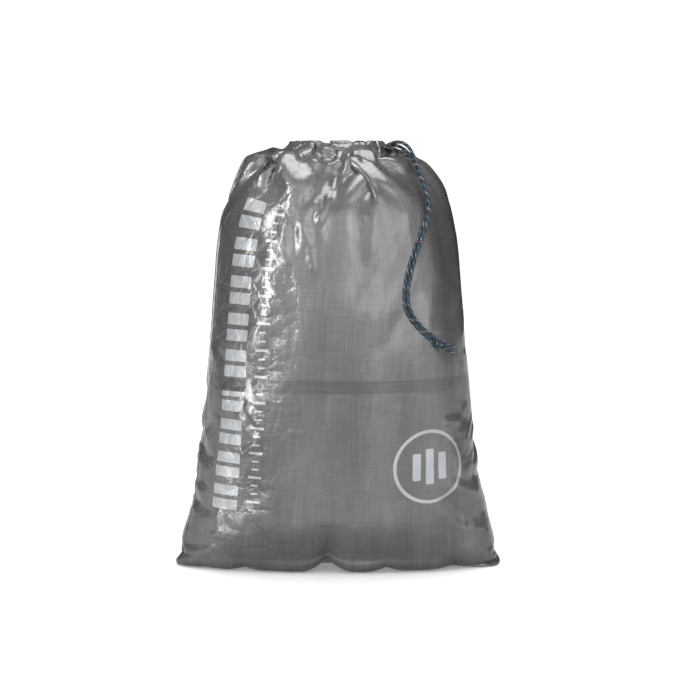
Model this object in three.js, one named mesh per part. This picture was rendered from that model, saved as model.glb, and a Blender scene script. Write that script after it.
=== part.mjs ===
// Drawstring stuff sack, standing stuffed on its rounded bottom with its mouth gathered.
// Millimetres, +Z up, front towards -Y, origin under the middle of the base.
import * as THREE from 'three';

// Fabric
const WALL = 1.2; // the laminate, thickened so that it is a solid wall
const TAPE_THICKNESS = 0.6;
const SEAM_WIDTH = 12.7; // half-inch laps and tapes
const CLEARANCE = 0.4; // kept between pieces that would touch
const SECTION_POWER = 2.3; // superellipse: 2 is an ellipse, more is boxier
const PANEL_COLUMNS = 24;
const SIDE_GAP_ANGLE = THREE.MathUtils.degToRad(0.4);

// Base: two feet either side of a seam that is lifted a little
const SEAM_LIFT = 5;
const SEAM_HALF_GAP = 0.5;
const SEAM_HALF_LENGTH = 128;
const INNER_FOOT = { halfWidth: 134, halfDepth: 20, z: 0 };
const OUTER_FOOT = { halfWidth: 139, halfDepth: 36, z: 0 };
const CORNER_STEPS = 4;

// Stuffed outline from the top of the bottom corners to the mouth
const OUTLINE = [
  { z: 20, halfWidth: 150, halfDepth: 50 },
  { z: 66, halfWidth: 139, halfDepth: 60 },
  { z: 102, halfWidth: 133.5, halfDepth: 64 },
  { z: 160, halfWidth: 126.5, halfDepth: 68 },
  { z: 215, halfWidth: 120.5, halfDepth: 71 },
  { z: 271, halfWidth: 116, halfDepth: 72.5 },
  { z: 328, halfWidth: 110.5, halfDepth: 71 },
  { z: 348, halfWidth: 106.5, halfDepth: 68 },
  { z: 366, halfWidth: 99.5, halfDepth: 61 },
  { z: 380, halfWidth: 89, halfDepth: 52 },
  { z: 391, halfWidth: 74, halfDepth: 44 },
  { z: 398, halfWidth: 51, halfDepth: 36 },
];
const SPLICE_HEIGHT = 173;

// Hem channel: an upside-down U of fabric that runs round the mouth
const CHANNEL_RADIUS = 5;
const CHANNEL_WALL = 1;
const CHANNEL_OUTER_DROP = 8;
const CHANNEL_INNER_DROP = 14;
const CHANNEL_RING = { z: 398, halfWidth: 44.5, halfDepth: 29.5 };
const EXIT_ANGLE = THREE.MathUtils.degToRad(15); // half of the opening at the right side seam
const STITCH_HEIGHT = 394;
const THREAD = 0.8;

// Drawcord: an eighth of an inch
const CORD_DIAMETER = 3.2;
const CORD_SIDES = 8;
const STRAND_SPACING = 3.7; // between the two strands' middles
const CORD_STEP = 2.5 * CORD_DIAMETER;

// Where each strand runs from the open end of the channel over the hem
const FRONT_BIGHT_ROUTE = [
  [41.9, -11.6, 398.0],
  [44.4, -8.0, 399.2],
  [48.0, -6.6, 401.8],
  [52.6, -8.4, 403.6],
  [58.0, -12.0, 404.0],
  [63.2, -17.2, 402.0],
  [67.4, -23.4, 397.6],
  [70.9, -31.8, 390.4],
];
const BACK_BIGHT_ROUTE = [
  [41.9, 11.6, 398.0],
  [44.6, 6.6, 398.8],
  [47.6, 1.6, 400.6],
  [51.6, -2.4, 401.5],
  [56.0, -6.6, 400.8],
  [60.4, -12.2, 398.6],
  [64.6, -19.4, 395.2],
  [68.6, -28.9, 389.4],
];

// Middle line between the hanging strands, and how far they are rolled round each other:
// at 0 degrees they lie side by side, at 90 the front one covers the back one.
const TAIL_ROUTE = [
  { x: 69.9, y: -30.7, z: 389.5, roll: 50 },
  { x: 73.6, y: -39.0, z: 381.0, roll: 62 },
  { x: 77.6, y: -46.0, z: 369.6, roll: 72 },
  { x: 81.4, y: -50.4, z: 357.4, roll: 78 },
  { x: 83.6, y: -53.4, z: 345.4, roll: 74 },
  { x: 82.4, y: -56.6, z: 334.0, roll: 60 },
  { x: 78.4, y: -59.7, z: 322.4, roll: 42 },
  { x: 73.4, y: -62.6, z: 309.4, roll: 26 },
  { x: 69.0, y: -64.7, z: 295.6, roll: 14 },
  { x: 65.4, y: -66.5, z: 282.0, roll: 6 },
  { x: 63.0, y: -67.6, z: 268.6, roll: 0 },
  { x: 63.4, y: -67.2, z: 255.8, roll: 0 },
  { x: 67.4, y: -65.9, z: 244.8, roll: 0 },
  { x: 74.0, y: -63.5, z: 235.6, roll: 0 },
  { x: 81.4, y: -61.1, z: 228.4, roll: 0 },
  { x: 89.2, y: -58.3, z: 222.6, roll: 0 },
];
const KNOT = { x: 94.6, y: -57.2, z: 218.9, length: 11, width: 9.6 };
const KNOT_DIP = THREE.MathUtils.degToRad(34); // how steeply the cord runs down through the knot
const TIP_RUN = { x: 9, y: 0.6, z: -3.4 };
const TIP_SPREAD = 1.6;

const laminate = new THREE.MeshStandardMaterial({ color: 0x8d8f92, roughness: 0.28, metalness: 0.15 });
const tapeMaterial = new THREE.MeshStandardMaterial({ color: 0x7d7f82, roughness: 0.35, metalness: 0.1 });
const threadMaterial = new THREE.MeshStandardMaterial({ color: 0x4a4c50, roughness: 0.7, metalness: 0 });
const cordMaterial = new THREE.MeshStandardMaterial({ color: 0x1d2a3a, roughness: 0.75, metalness: 0 });

const { lerp } = THREE.MathUtils;
const signedPower = (value, power) => Math.sign(value) * Math.abs(value) ** power;

// A point on one level of the sack. The angle runs anticlockwise from the right-hand side seam.
function ringPoint(ring, angle) {
  const power = 2 / SECTION_POWER;
  const side = Math.sign(Math.sin(angle));
  return new THREE.Vector3(
    ring.halfWidth * signedPower(Math.cos(angle), power),
    ring.halfDepth * signedPower(Math.sin(angle), power) + side * SEAM_HALF_GAP,
    ring.z,
  );
}

// Level at any height, straight between the outline's levels
function ringAt(z) {
  const above = OUTLINE.findIndex((ring) => ring.z >= z);
  const top = OUTLINE[Math.max(above, 1)];
  const bottom = OUTLINE[Math.max(above, 1) - 1];
  const share = (z - bottom.z) / (top.z - bottom.z);
  return {
    z,
    halfWidth: lerp(bottom.halfWidth, top.halfWidth, share),
    halfDepth: lerp(bottom.halfDepth, top.halfDepth, share),
  };
}

// Levels from the bottom seam, out across the feet and up round the bottom corner
function baseRings() {
  const rings = [{ z: SEAM_LIFT, halfWidth: SEAM_HALF_LENGTH, halfDepth: 0 }, INNER_FOOT, OUTER_FOOT];
  const top = OUTLINE[0];
  for (let step = 1; step < CORNER_STEPS; step += 1) {
    const turn = (step / CORNER_STEPS) * (Math.PI / 2);
    rings.push({
      z: top.z * (1 - Math.cos(turn)),
      halfWidth: lerp(OUTER_FOOT.halfWidth, top.halfWidth, Math.sin(turn)),
      halfDepth: lerp(OUTER_FOOT.halfDepth, top.halfDepth, Math.sin(turn)),
    });
  }
  return rings;
}

// The outline's levels between two heights, with a level of their own at both ends
function sideRings(from, to) {
  const between = OUTLINE.filter((ring) => ring.z > from && ring.z < to);
  return [ringAt(from), ...between, ringAt(to)];
}

// A closed slab: pointAt(u, v, w) bends a unit box, u along it, v across it, w through it
function bentSlab(columns, rows, pointAt) {
  const geometry = new THREE.BoxGeometry(1, 1, 1, columns, rows, 1);
  const position = geometry.attributes.position;
  for (let i = 0; i < position.count; i += 1) {
    const point = pointAt(position.getX(i) + 0.5, position.getY(i) + 0.5, position.getZ(i) + 0.5);
    position.setXYZ(i, point.x, point.y, point.z);
  }
  geometry.deleteAttribute('uv');
  geometry.computeVertexNormals();
  return geometry;
}

// A point that stands off the wall's outer face by offset, on one level and at one angle
function wallPoint(rings, row, angle, offset) {
  const nudge = 0.002;
  const point = ringPoint(rings[row], angle);
  const below = ringPoint(rings[Math.max(row - 1, 0)], angle);
  const above = ringPoint(rings[Math.min(row + 1, rings.length - 1)], angle);
  const along = ringPoint(rings[row], angle + nudge).sub(ringPoint(rings[row], angle - nudge));
  const outward = along.cross(above.sub(below)).normalize();
  return point.addScaledVector(outward, offset);
}

// Fabric between two angles that follows the given levels, from one offset to another
function wallStrip(rings, columns, fromAngle, toAngle, inner, outer) {
  const rows = rings.length - 1;
  return bentSlab(columns, rows, (u, v, w) => {
    const row = Math.round(v * rows);
    return wallPoint(rings, row, lerp(fromAngle, toAngle, u), lerp(inner, outer, w));
  });
}

// The front's angles run from the left side seam to the right one, and the back's go on round.
const halfStart = { front: -Math.PI + SIDE_GAP_ANGLE, back: SIDE_GAP_ANGLE };
const COLUMN_ANGLE = (Math.PI - 2 * SIDE_GAP_ANGLE) / PANEL_COLUMNS;

// Panels stop a hair short of the middle plane, so that front and back never touch
function panel(half, rings) {
  const start = halfStart[half];
  const side = half === 'front' ? -1 : 1;
  const geometry = wallStrip(rings, PANEL_COLUMNS, start, start + PANEL_COLUMNS * COLUMN_ANGLE, -WALL, 0);
  const position = geometry.attributes.position;
  for (let i = 0; i < position.count; i += 1) {
    const reach = Math.max(side * position.getY(i), SEAM_HALF_GAP);
    position.setY(i, side * reach);
  }
  return geometry;
}

// The splice band stops one column short of each side seam's tape
function spliceTape(half) {
  const rings = [ringAt(SPLICE_HEIGHT - SEAM_WIDTH / 2), ringAt(SPLICE_HEIGHT + SEAM_WIDTH / 2)];
  const start = halfStart[half] + COLUMN_ANGLE;
  const columns = PANEL_COLUMNS - 2;
  return wallStrip(rings, columns, start, start + columns * COLUMN_ANGLE, CLEARANCE, CLEARANCE + TAPE_THICKNESS);
}

// How far round from the side seam a strip reaches when it is this wide on either side
function reachAngle(ring, halfWidth) {
  const share = (halfWidth - SEAM_HALF_GAP) / ring.halfDepth;
  return Math.asin(share ** (SECTION_POWER / 2));
}

function sideSeamTape(middle) {
  const rings = OUTLINE.slice(0, -1);
  return bentSlab(2, rings.length - 1, (u, v, w) => {
    const ring = rings[Math.round(v * (rings.length - 1))];
    const reach = reachAngle(ring, SEAM_WIDTH / 2);
    const point = ringPoint(ring, middle + lerp(-reach, reach, u));
    if (u === 0.5) point.y = 0;
    point.x += Math.cos(middle) * (CLEARANCE + w * TAPE_THICKNESS);
    return point;
  });
}

function bottomSeamTape() {
  const reach = SEAM_WIDTH / 2 / INNER_FOOT.halfDepth;
  return bentSlab(16, 2, (u, v, w) => {
    const angle = lerp(0.88, 0.12, u) * Math.PI;
    const across = lerp(-reach, reach, v);
    const ring = {
      z: SEAM_LIFT * (1 - Math.abs(across)) - CLEARANCE - (1 - w) * TAPE_THICKNESS,
      halfWidth: lerp(SEAM_HALF_LENGTH, INNER_FOOT.halfWidth, Math.abs(across)),
      halfDepth: INNER_FOOT.halfDepth * across,
    };
    const point = ringPoint(ring, angle);
    point.y -= SEAM_HALF_GAP * (1 - Math.sign(across));
    return point;
  });
}

// Outward direction, level, on the hem channel's middle line
function channelOutward(angle) {
  const nudge = 0.002;
  const along = ringPoint(CHANNEL_RING, angle + nudge).sub(ringPoint(CHANNEL_RING, angle - nudge));
  return new THREE.Vector3(along.y, -along.x, 0).normalize();
}

// Half of the hem: the cloth goes up the outside, over the cord and down the inside
function hemTunnel(fromAngle, toAngle) {
  const arc = Math.PI * CHANNEL_RADIUS;
  const length = CHANNEL_OUTER_DROP + arc + CHANNEL_INNER_DROP;
  const arcRows = 6;
  const stops = [0, CHANNEL_OUTER_DROP / length];
  for (let i = 1; i <= arcRows; i += 1) stops.push((CHANNEL_OUTER_DROP + (arc * i) / arcRows) / length);
  stops.push(1);
  return bentSlab(20, stops.length - 1, (u, v, w) => {
    const angle = lerp(fromAngle, toAngle, u);
    const run = stops[Math.round(v * (stops.length - 1))] * length;
    const turn = THREE.MathUtils.clamp((run - CHANNEL_OUTER_DROP) / CHANNEL_RADIUS, 0, Math.PI);
    const radius = CHANNEL_RADIUS + (w - 0.5) * CHANNEL_WALL;
    const drop = Math.max(CHANNEL_OUTER_DROP - run, run - CHANNEL_OUTER_DROP - arc, 0);
    const point = ringPoint(CHANNEL_RING, angle);
    point.addScaledVector(channelOutward(angle), radius * Math.cos(turn));
    point.z += radius * Math.sin(turn) - drop;
    return point;
  });
}

// Thread block over the channel's crown, beside its open end
function exitBartack(side) {
  const ends = [side * EXIT_ANGLE * 1.15, side * EXIT_ANGLE * 1.5].sort((a, b) => a - b);
  const [lowTurn, highTurn] = [0.3, 1.3];
  return bentSlab(2, 4, (u, v, w) => {
    const angle = lerp(...ends, u);
    const reach = CHANNEL_RADIUS + CHANNEL_WALL / 2 + CLEARANCE + w * THREAD;
    const turn = lerp(lowTurn, highTurn, v);
    const point = ringPoint(CHANNEL_RING, angle);
    point.addScaledVector(channelOutward(angle), reach * Math.cos(turn));
    point.z += reach * Math.sin(turn);
    return point;
  });
}

// Row of thread on the shoulder, where the channel is sewn shut
function hemStitching(half) {
  const rings = [ringAt(STITCH_HEIGHT - THREAD / 2), ringAt(STITCH_HEIGHT + THREAD / 2)];
  const start = halfStart[half] + COLUMN_ANGLE;
  const columns = PANEL_COLUMNS - 2;
  return wallStrip(rings, columns, start, start + columns * COLUMN_ANGLE, CLEARANCE, CLEARANCE + THREAD);
}

function curveThrough(points) {
  return new THREE.CatmullRomCurve3(points, false, 'centripetal');
}

// Plain round cord along a curve
function cordTube(curve, diameter = CORD_DIAMETER) {
  const outline = new THREE.Shape();
  for (let i = 0; i < CORD_SIDES; i += 1) {
    const turn = (i / CORD_SIDES) * 2 * Math.PI;
    const corner = [(diameter / 2) * Math.cos(turn), (diameter / 2) * Math.sin(turn)];
    if (i === 0) outline.moveTo(...corner);
    else outline.lineTo(...corner);
  }
  const steps = Math.max(2, Math.round(curve.getLength() / CORD_STEP));
  return new THREE.ExtrudeGeometry(outline, { steps, extrudePath: curve, bevelEnabled: false });
}

// One hanging strand: side is +1 for the front strand and -1 for the back one
function strandPoints(side) {
  return TAIL_ROUTE.map(({ x, y, z, roll }, i) => {
    const before = TAIL_ROUTE[Math.max(i - 1, 0)];
    const after = TAIL_ROUTE[Math.min(i + 1, TAIL_ROUTE.length - 1)];
    const run = new THREE.Vector2(after.x - before.x, after.z - before.z).normalize();
    const turn = THREE.MathUtils.degToRad(roll);
    const sideways = (side * STRAND_SPACING * Math.cos(turn)) / 2;
    const forwards = (side * STRAND_SPACING * Math.sin(turn)) / 2;
    return new THREE.Vector3(x - run.y * sideways, y - forwards, z + run.x * sideways);
  });
}

// The cord inside the channel, from one open end round the mouth to the other
function hemLoopPoints() {
  const points = [];
  const count = 32;
  for (let i = 0; i <= count; i += 1) {
    const angle = lerp(-EXIT_ANGLE * 1.5, -2 * Math.PI + EXIT_ANGLE * 1.5, i / count);
    const point = ringPoint(CHANNEL_RING, angle);
    points.push(point);
  }
  return points;
}

function knotGeometry() {
  const geometry = new THREE.SphereGeometry(0.5, 12, 8);
  geometry.scale(KNOT.length, KNOT.width, KNOT.width);
  return geometry;
}

// Free end past the knot: side is +1 for the upper tip and -1 for the lower one
function cordTip(side) {
  const reach = KNOT.length / 2 + CLEARANCE;
  const start = new THREE.Vector3(
    KNOT.x + reach * Math.cos(KNOT_DIP) + (side * STRAND_SPACING * Math.sin(KNOT_DIP)) / 2,
    KNOT.y,
    KNOT.z - reach * Math.sin(KNOT_DIP) + (side * STRAND_SPACING * Math.cos(KNOT_DIP)) / 2,
  );
  const end = start.clone().add(new THREE.Vector3(TIP_RUN.x, TIP_RUN.y, TIP_RUN.z + side * TIP_SPREAD));
  return cordTube(new THREE.LineCurve3(start, end));
}

const toVectors = (route) => route.map((point) => new THREE.Vector3(...point));

const lowerRings = [...baseRings(), ...sideRings(OUTLINE[0].z, SPLICE_HEIGHT - CLEARANCE / 2)];
const upperRings = sideRings(SPLICE_HEIGHT + CLEARANCE / 2, OUTLINE.at(-1).z);

const group = new THREE.Group();

function add(name, geometry, material) {
  const mesh = new THREE.Mesh(geometry, material);
  mesh.name = name;
  group.add(mesh);
  return mesh;
}

for (const half of ['front', 'back']) {
  add(`${half}_upper_panel`, panel(half, upperRings), laminate);
  add(`${half}_lower_panel`, panel(half, lowerRings), laminate);
  add(`${half}_splice_tape`, spliceTape(half), tapeMaterial);
  add(`${half}_hem_stitching`, hemStitching(half), threadMaterial);
}
add('left_side_seam_tape', sideSeamTape(Math.PI), tapeMaterial);
add('right_side_seam_tape', sideSeamTape(0), tapeMaterial);
add('bottom_seam_tape', bottomSeamTape(), tapeMaterial);
add('front_hem_tunnel', hemTunnel(-Math.PI + SIDE_GAP_ANGLE, -EXIT_ANGLE), laminate);
add('back_hem_tunnel', hemTunnel(EXIT_ANGLE, Math.PI - SIDE_GAP_ANGLE), laminate);
add('front_exit_bartack', exitBartack(-1), threadMaterial);
add('back_exit_bartack', exitBartack(1), threadMaterial);

add('drawcord_hem_loop', cordTube(curveThrough(hemLoopPoints())), cordMaterial);
add('front_drawcord_bight', cordTube(curveThrough(toVectors(FRONT_BIGHT_ROUTE))), cordMaterial);
add('back_drawcord_bight', cordTube(curveThrough(toVectors(BACK_BIGHT_ROUTE))), cordMaterial);
add('front_drawcord_strand', cordTube(curveThrough(strandPoints(1))), cordMaterial);
add('back_drawcord_strand', cordTube(curveThrough(strandPoints(-1))), cordMaterial);
const knot = add('drawcord_knot', knotGeometry(), cordMaterial);
knot.position.set(KNOT.x, KNOT.y, KNOT.z);
knot.rotation.y = KNOT_DIP;
add('front_cord_tip', cordTip(1), cordMaterial);
add('back_cord_tip', cordTip(-1), cordMaterial);

export default group;
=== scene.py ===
"""Looks of a drawstring stuff sack, standing stuffed with its mouth gathered.

The laminate is one tube of cloth that a small simulation settles round the stuffing and under the
gathered hem. Panels, tapes and stitches are cut from that cloth by its columns and rows, and the
prints follow its flat pattern. Metres, +Z up, front towards -Y.
"""
import math

import bpy
import numpy as np
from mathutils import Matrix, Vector


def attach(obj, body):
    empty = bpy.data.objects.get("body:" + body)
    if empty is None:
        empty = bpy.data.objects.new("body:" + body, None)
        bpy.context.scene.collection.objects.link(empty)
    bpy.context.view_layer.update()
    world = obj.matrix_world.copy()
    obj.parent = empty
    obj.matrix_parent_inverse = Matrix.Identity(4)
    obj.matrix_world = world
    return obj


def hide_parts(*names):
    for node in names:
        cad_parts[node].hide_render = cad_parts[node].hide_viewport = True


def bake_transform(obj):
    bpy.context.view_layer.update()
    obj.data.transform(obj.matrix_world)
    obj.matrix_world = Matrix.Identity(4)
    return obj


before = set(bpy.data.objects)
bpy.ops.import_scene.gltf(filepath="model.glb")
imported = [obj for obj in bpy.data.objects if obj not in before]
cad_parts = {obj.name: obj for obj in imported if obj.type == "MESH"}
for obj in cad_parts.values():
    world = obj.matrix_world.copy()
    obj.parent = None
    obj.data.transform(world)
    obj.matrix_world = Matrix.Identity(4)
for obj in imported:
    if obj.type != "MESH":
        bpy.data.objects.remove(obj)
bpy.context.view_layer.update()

# ------------------------------------------------------------------------------ camera
LENS = 85
CAMERA_DISTANCE = 1.578
CAMERA_HEIGHT_ANGLE = math.radians(5.6)
AIM = Vector((0.0118, 0.0, 0.2073))


def place(data, location, target):
    """Put a camera or light at a place, looking at a target"""
    holder = bpy.data.objects.new(data.name, data)
    holder.location = location
    holder.rotation_euler = (Vector(target) - Vector(location)).to_track_quat("-Z", "Y").to_euler()
    bpy.context.collection.objects.link(holder)
    return holder


def make_camera():
    lens = bpy.data.cameras.new("camera")
    lens.lens = LENS
    back = Vector((0, -math.cos(CAMERA_HEIGHT_ANGLE), math.sin(CAMERA_HEIGHT_ANGLE)))
    bpy.context.scene.camera = place(lens, AIM + back * CAMERA_DISTANCE, AIM)


make_camera()

# ------------------------------------------------------------------------------ meshes


def smooth_object(name, mesh):
    mesh.shade_smooth()
    piece = bpy.data.objects.new(name, mesh)
    bpy.context.collection.objects.link(piece)
    return piece


def make_mesh(name, points, quads, flat=None):
    """A smooth mesh from points and quads, with an optional flat-pattern position for each point"""
    mesh = bpy.data.meshes.new(name)
    quads = np.asarray(quads, dtype=np.int32)
    mesh.vertices.add(len(points))
    mesh.vertices.foreach_set("co", np.asarray(points, dtype=np.float32).ravel())
    mesh.loops.add(quads.size)
    mesh.loops.foreach_set("vertex_index", quads.ravel())
    mesh.polygons.add(len(quads))
    mesh.polygons.foreach_set("loop_start", np.arange(0, quads.size, 4, dtype=np.int32))
    if flat is not None:
        layer = mesh.uv_layers.new(name="flat")
        layer.data.foreach_set("uv", np.asarray(flat, dtype=np.float32)[quads.ravel()].ravel())
    mesh.update(calc_edges=True)
    mesh.validate()
    return smooth_object(name, mesh)


def grid_quads(columns, rows, start=0, flip=False):
    """Quads of a grid whose points are numbered along its rows first"""
    number = start + np.arange(columns * rows).reshape(columns, rows)
    quads = np.stack([number[:-1, :-1], number[1:, :-1], number[1:, 1:], number[:-1, 1:]], -1)
    quads = quads.reshape(-1, 4)
    return quads[:, ::-1] if flip else quads


def shell(name, points, outward, flat, inner, outer):
    """A closed sheet of cloth between two offsets from a grid of points"""
    columns, rows = points.shape[:2]
    count = columns * rows
    both = np.concatenate([
        (points + outward * outer).reshape(-1, 3),
        (points + outward * inner).reshape(-1, 3),
    ])
    number = np.arange(count).reshape(columns, rows)
    rim = np.concatenate([number[:-1, 0], number[-1, :-1], number[:0:-1, -1], number[0, :0:-1]])
    after = np.roll(rim, -1)
    quads = np.concatenate([
        grid_quads(columns, rows),
        grid_quads(columns, rows, count, flip=True),
        np.stack([rim, rim + count, after + count, after], -1),
    ])
    piece = make_mesh(name, both, quads, np.concatenate([flat.reshape(-1, 2)] * 2))
    piece.data.set_sharp_from_angle(angle=math.radians(75))
    return piece


# ------------------------------------------------------------------------------ cords
MM = 0.001
CORD_RADIUS = 1.6 * MM
CORD_SIDES = 28
CORD_STEP = 0.4 * MM
CARRIERS = 8  # yarns that run one way round the braid
BRAID_PITCH = 15 * MM  # length in which a yarn goes once round
BRAID_RELIEF = 0.13 * MM
STRAND_SPACING = 3.7

# Millimetres: the same routes as the solid cords
FRONT_BIGHT_ROUTE = [
    (41.9, -11.6, 398.0), (44.4, -8.0, 399.2), (48.0, -6.6, 401.8), (52.6, -8.4, 403.6),
    (58.0, -12.0, 404.0), (63.2, -17.2, 402.0), (67.4, -23.4, 397.6), (70.9, -31.8, 390.4),
]
BACK_BIGHT_ROUTE = [
    (41.9, 11.6, 398.0), (44.6, 6.6, 398.8), (47.6, 1.6, 400.6), (51.6, -2.4, 401.5),
    (56.0, -6.6, 400.8), (60.4, -12.2, 398.6), (64.6, -19.4, 395.2), (68.6, -28.9, 389.4),
]
TAIL_ROUTE = [  # x, y, z and the roll of one strand round the other, in degrees
    (69.9, -30.7, 389.5, 50), (73.6, -39.0, 381.0, 62), (77.6, -46.0, 369.6, 72),
    (81.4, -50.4, 357.4, 78), (83.6, -53.4, 345.4, 74), (82.4, -56.6, 334.0, 60),
    (78.4, -59.7, 322.4, 42), (73.4, -62.6, 309.4, 26), (69.0, -64.7, 295.6, 14),
    (65.4, -66.5, 282.0, 6), (63.0, -67.6, 268.6, 0), (63.4, -67.2, 255.8, 0),
    (67.4, -65.9, 244.8, 0), (74.0, -63.5, 235.6, 0), (81.4, -61.1, 228.4, 0),
    (89.2, -58.3, 222.6, 0),
]
KNOT_CENTRE = np.array((94.6, -57.2, 218.9)) * MM
KNOT_LENGTH = 11 * MM
KNOT_WIDTH = 9.6 * MM
KNOT_DIP = math.radians(34)
KNOT_CORD_RADIUS = 1.55 * MM  # drawn tight
TIP_RUN = np.array((9, 0.6, -3.4)) * MM
TIP_SPREAD = 1.6 * MM
KNOT_TURNS = (("knot_first", 0.3, 1.0), ("knot_second", 1.5, 0.9))  # name, roll and scale
HEM_RING = (44.5 * MM, 29.5 * MM)
HEM_CORD_HEIGHT = 398 * MM
EXIT_ANGLE = math.radians(15)


def strand_points(side):
    """Points of one hanging strand: side is +1 for the front strand and -1 for the back one"""
    points = []
    for i, (x, y, z, roll) in enumerate(TAIL_ROUTE):
        before = TAIL_ROUTE[max(i - 1, 0)]
        after = TAIL_ROUTE[min(i + 1, len(TAIL_ROUTE) - 1)]
        run = Vector((after[0] - before[0], after[2] - before[2])).normalized()
        sideways = side * STRAND_SPACING * math.cos(math.radians(roll)) / 2
        forwards = side * STRAND_SPACING * math.sin(math.radians(roll)) / 2
        points.append((x - run.y * sideways, y - forwards, z + run.x * sideways))
    return np.array(points) * MM


def smooth_line(points, step):
    """Centripetal Catmull-Rom curve through the points, sampled evenly"""
    points = np.asarray(points, float)
    padded = np.vstack([2 * points[0] - points[1], points, 2 * points[-1] - points[-2]])
    knots = np.concatenate([[0], np.cumsum(np.linalg.norm(np.diff(padded, axis=0), axis=1) ** 0.5)])
    pieces = []
    for i in range(1, len(padded) - 2):
        t = np.linspace(knots[i], knots[i + 1], 60, endpoint=i == len(padded) - 3)[:, None]

        def blend(low, high, start, end):
            return (low * (knots[end] - t) + high * (t - knots[start])) / (knots[end] - knots[start])

        first = blend(padded[i - 1], padded[i], i - 1, i)
        second = blend(padded[i], padded[i + 1], i, i + 1)
        third = blend(padded[i + 1], padded[i + 2], i + 1, i + 2)
        low = blend(first, second, i - 1, i + 1)
        high = blend(second, third, i, i + 2)
        pieces.append(blend(low, high, i, i + 1))
    return even_line(np.vstack(pieces), step)


def distances(line):
    """How far along the line each of its points is"""
    return np.concatenate([[0], np.cumsum(np.linalg.norm(np.diff(line, axis=0), axis=1))])


def even_line(line, step):
    """The same line with its points spread evenly, about a step apart"""
    run = distances(line)
    at = np.linspace(0, run[-1], max(3, round(run[-1] / step) + 1))
    return np.stack([np.interp(at, run, line[:, axis]) for axis in range(3)], -1)


def line_frames(line):
    """Two directions across the line at each point, carried along without twist"""
    forward = np.gradient(line, axis=0)
    forward /= np.linalg.norm(forward, axis=1, keepdims=True)
    side = np.cross(forward[0], (0.2, 0.3, 1.0))
    sides = []
    for direction in forward:
        side = side - direction * side.dot(direction)
        side = side / np.linalg.norm(side)
        sides.append(side)
    sides = np.array(sides)
    return sides, np.cross(forward, sides)


def braid_relief(turn, along):
    """How far the yarns of the braid stand up, from 0 to 1, at a share of a turn and of a pitch"""
    one_way = (turn + along) * CARRIERS
    other_way = (turn - along) * CARRIERS
    first_on_top = (np.floor(one_way) + np.floor(other_way)) % 2 == 0
    across = np.where(first_on_top, one_way % 1, other_way % 1)
    lengthwise = np.where(first_on_top, other_way % 1, one_way % 1)
    return np.sin(np.pi * across) ** 0.6 * (0.55 + 0.45 * np.sin(np.pi * lengthwise))


def tube_faces(rings, sides, first=0):
    """Quads along a tube's rings, and triangles that close it on the two points after them"""
    number = first + np.arange(rings * sides).reshape(rings, sides)
    after = np.roll(number, -1, axis=1)
    quads = np.stack([number[:-1], after[:-1], after[1:], number[1:]], -1).reshape(-1, 4)
    tip = first + rings * sides
    caps = [(tip, after[0, k], number[0, k]) for k in range(sides)]
    caps += [(tip + 1, number[-1, k], after[-1, k]) for k in range(sides)]
    return quads.tolist() + caps


def braided_tube(name, line, radius=CORD_RADIUS, tight=(0.0, 0.0)):
    """Closed braided cord along a line; tight gives how round its two ends are, in metres"""
    across, upward = line_frames(line)
    run = distances(line)
    turn = np.arange(CORD_SIDES + 1) / CORD_SIDES
    relief = braid_relief(turn[None] % 1, run[:, None] / BRAID_PITCH)
    size = radius - BRAID_RELIEF + BRAID_RELIEF * relief
    for distance, rounding in ((run, tight[0]), (run[-1] - run, tight[1])):
        if rounding:
            share = np.clip(distance / rounding, 0.02, 1)
            size = size * np.sqrt(1 - (1 - share[:, None]) ** 2)
    angle = 2 * np.pi * turn[None, :, None]
    points = line[:, None] + size[..., None] * (
        across[:, None] * np.cos(angle) + upward[:, None] * np.sin(angle))
    mesh = bpy.data.meshes.new(name)
    rims = points[:, :-1].reshape(-1, 3)
    faces = tube_faces(len(line), CORD_SIDES)
    mesh.from_pydata(np.vstack([rims, line[0], line[-1]]).tolist(), [], faces)
    flat = np.stack(np.broadcast_arrays(turn[None], run[:, None] / BRAID_PITCH), -1)
    corners = np.stack([flat[:-1, :-1], flat[:-1, 1:], flat[1:, 1:], flat[1:, :-1]], -2)
    ends = np.repeat([(0.5, 0), (0.5, run[-1] / BRAID_PITCH)], 3 * CORD_SIDES, axis=0)
    layer = mesh.uv_layers.new(name="flat")
    layer.data.foreach_set("uv", np.vstack([corners.reshape(-1, 2), ends]).astype(np.float32).ravel())
    return smooth_object(name, mesh)


# ------------------------------------------------------------------------------ cloth
FLAT_WIDTH = 0.325
COLUMNS = 320
HALF = COLUMNS // 2
CELL = 2 * FLAT_WIDTH / COLUMNS
SECTION_POWER = 2.3  # of the rounded box that every level section is: 2 would be an ellipse
HEM_DEPTH = 18 * MM  # from the crown of the hem down to its stitches
CORNER_INSET = 30 * MM  # the cut narrows by this at each bottom corner
CORNER_HEIGHT = 34 * MM
SPLICE_HEIGHT = 180 * MM
SEAM_WIDTH = 12.7 * MM
EXIT_SHARE = 0.017  # of the way round, from the right seam to either end of the hem
TURNED_IN = 4.5 * MM  # how far inside its crown the hem hangs

# Height, half width and half depth of the stuffed shape, in millimetres, from the bottom seam up
PROFILE = [
    (5, 124, 0), (0, 132, 20), (0, 139, 34), (5.9, 145.5, 40), (20, 151, 48), (40, 148, 57), (66, 141.5, 61),
    (102, 133.5, 65), (160, 126.5, 70), (215, 120.5, 73.5), (271, 116, 75), (328, 110.5, 73),
    (348, 106.5, 70), (366, 99.5, 63), (380, 89, 53), (391, 74, 44), (398, 51, 36),
    (401, 44.5, 29.5),
]
FULLNESS = 1.035  # length of cloth for a length of the stuffed shape
SHOULDER = 340 * MM  # the left seam starts to turn forwards above here
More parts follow.
